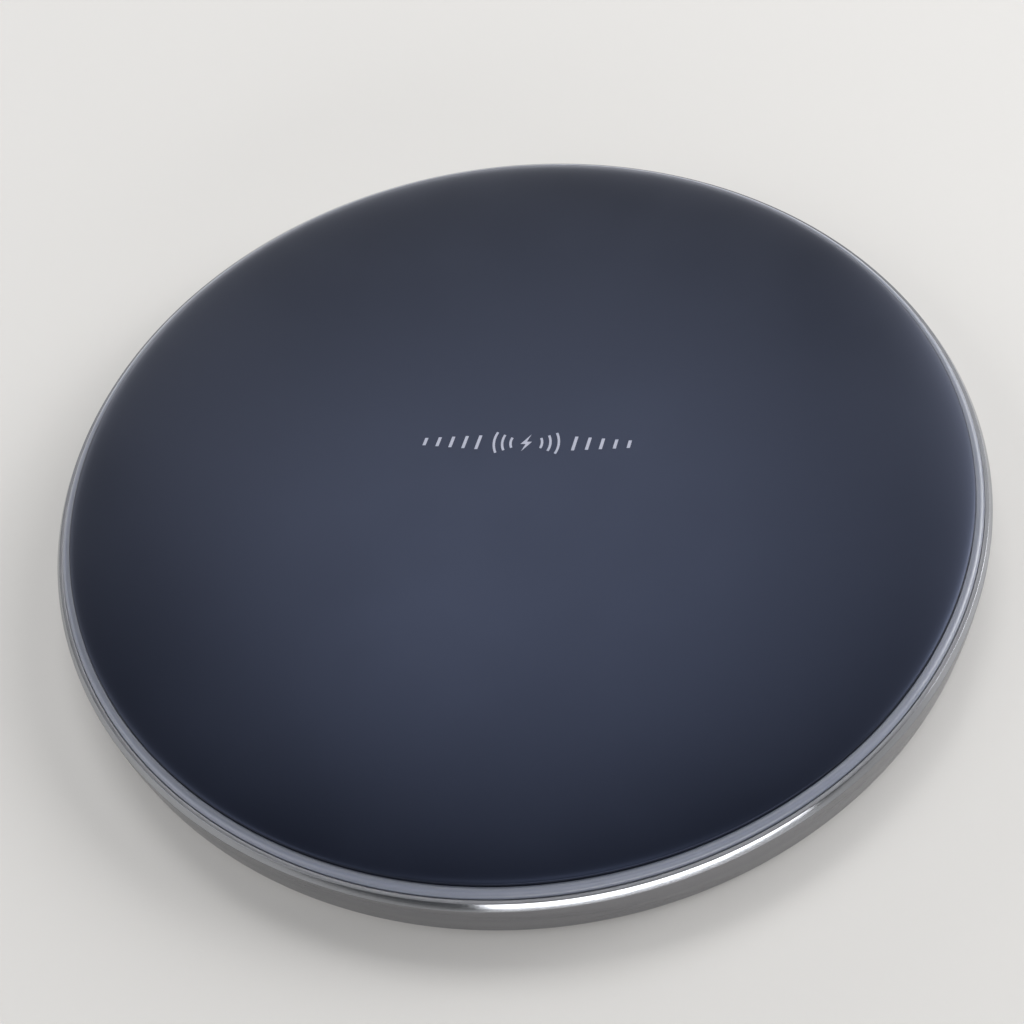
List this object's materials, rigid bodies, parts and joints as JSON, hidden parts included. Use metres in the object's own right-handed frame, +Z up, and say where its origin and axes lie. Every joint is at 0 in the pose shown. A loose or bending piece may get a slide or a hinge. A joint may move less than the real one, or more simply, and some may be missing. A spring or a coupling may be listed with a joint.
{
  "type": "wireless charging pad",
  "caption": "Thin round wireless charging pad: domed matte cover, frosted light ring, polished metal bezel, silicone foot ring and a USB-C inlet in the rim.",
  "frame": {"origin": "centre of the foot ring's underside, on the surface that the pad lies on", "axes": "+Z up through the flat middle of the cover, where the phone lies; +Y towards the USB-C inlet in the rim; +X to the right seen with the inlet at the far side"},
  "size_m": [0.1, 0.1, 0.0087],
  "materials": {
    "cover_black": "satin",
    "cover_print": "matte",
    "light_guide": "satin",
    "bezel_metal": "satin",
    "base_plastic": "matte",
    "foot_silicone": "matte",
    "label": "satin",
    "screw_steel": "satin",
    "inlet_steel": "satin",
    "inlet_plastic": "matte",
    "foam": "matte",
    "ferrite": "matte",
    "film": "satin",
    "coil_copper": "satin",
    "lead_sleeve": "satin",
    "epoxy": "gloss",
    "circuit_board": "satin",
    "chip": "matte",
    "capacitor": "satin",
    "inductor": "matte",
    "can_metal": "satin",
    "led": "satin"
  },
  "bodies": {
    "root": {"top_cover": "cover_black", "light_guide_ring": "light_guide", "bezel_ring": "bezel_metal", "bottom_cover": "base_plastic", "foot_ring": "foot_silicone", "rating_label": "label", "base_screw_1": "screw_steel", "base_screw_2": "screw_steel", "base_screw_3": "screw_steel", "base_screw_4": "screw_steel", "usb_shell": "inlet_steel", "usb_tongue": "inlet_plastic", "shield_foam_tape": "foam", "ferrite_shield": "ferrite", "coil_adhesive": "film", "transmit_coil": "coil_copper", "coil_lead_inner": "lead_sleeve", "coil_lead_outer": "lead_sleeve", "thermistor": "epoxy", "thermistor_wire_1": "lead_sleeve", "thermistor_wire_2": "lead_sleeve", "main_pcb": "circuit_board", "controller_ic": "chip", "bridge_mosfet_1": "chip", "bridge_mosfet_2": "chip", "resonant_capacitor_1": "capacitor", "resonant_capacitor_2": "capacitor", "resonant_capacitor_3": "capacitor", "resonant_capacitor_4": "capacitor", "input_capacitor_1": "capacitor", "input_capacitor_2": "capacitor", "power_inductor": "inductor", "crystal": "can_metal", "ring_led_1": "led", "ring_led_2": "led", "ring_led_3": "led", "ring_led_4": "led", "ring_led_5": "led", "ring_led_6": "led"}
  },
  "joints": []
}
